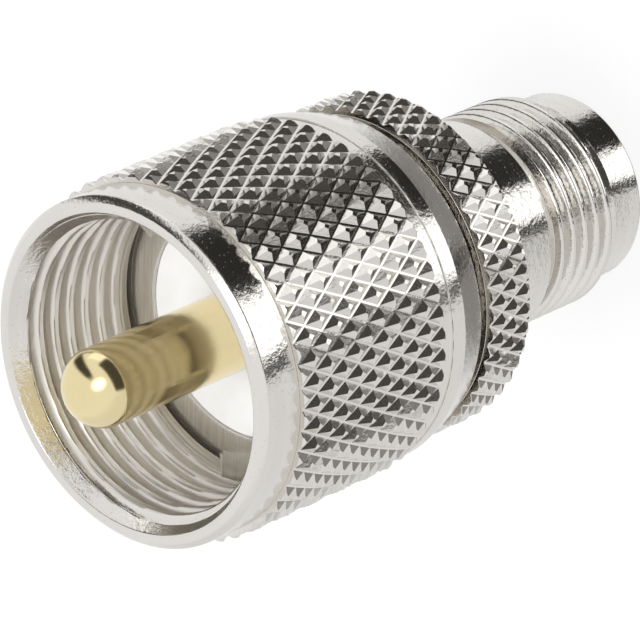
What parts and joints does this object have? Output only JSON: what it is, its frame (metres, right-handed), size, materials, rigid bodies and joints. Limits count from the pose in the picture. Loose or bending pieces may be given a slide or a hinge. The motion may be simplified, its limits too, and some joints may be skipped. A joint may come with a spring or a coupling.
{
  "type": "coaxial adapter",
  "caption": "Coaxial adapter with a captive knurled coupling nut round a gilt centre pin at one end and a small threaded jack with a slotted contact at the other.",
  "frame": {"origin": "centre of the jack's flat end face, on which the adapter stands", "axes": "+Z runs along the adapter's axis from the jack end up to the plug's pin; the sleeve's two locking teeth lie near the X axis"},
  "size_m": [0.0186, 0.0186, 0.0363],
  "materials": {
    "nickel_plate": "bright nickel plate on turned brass",
    "spring_steel": "plain spring steel",
    "white_insulator": "turned white fluoropolymer",
    "gold_plate": "polished gold plate"
  },
  "bodies": {
    "body": {"adapter_body": "nickel_plate", "plug_insulator": "white_insulator", "jack_insulator": "white_insulator", "centre_pin": "gold_plate", "jack_contact": "gold_plate"},
    "ring": {"retaining_ring": "spring_steel"},
    "nut": {"coupling_nut": "nickel_plate"}
  },
  "joints": [
    {"name": "nut_slide", "type": "slide", "parent": "body", "child": "ring", "axis": [0, 0, 1], "range_m": [0, 0.002]},
    {"name": "nut_spin", "type": "hinge", "parent": "ring", "child": "nut", "pos_m": [0, 0, 0.0244], "axis": [0, 0, 1], "continuous": true}
  ]
}
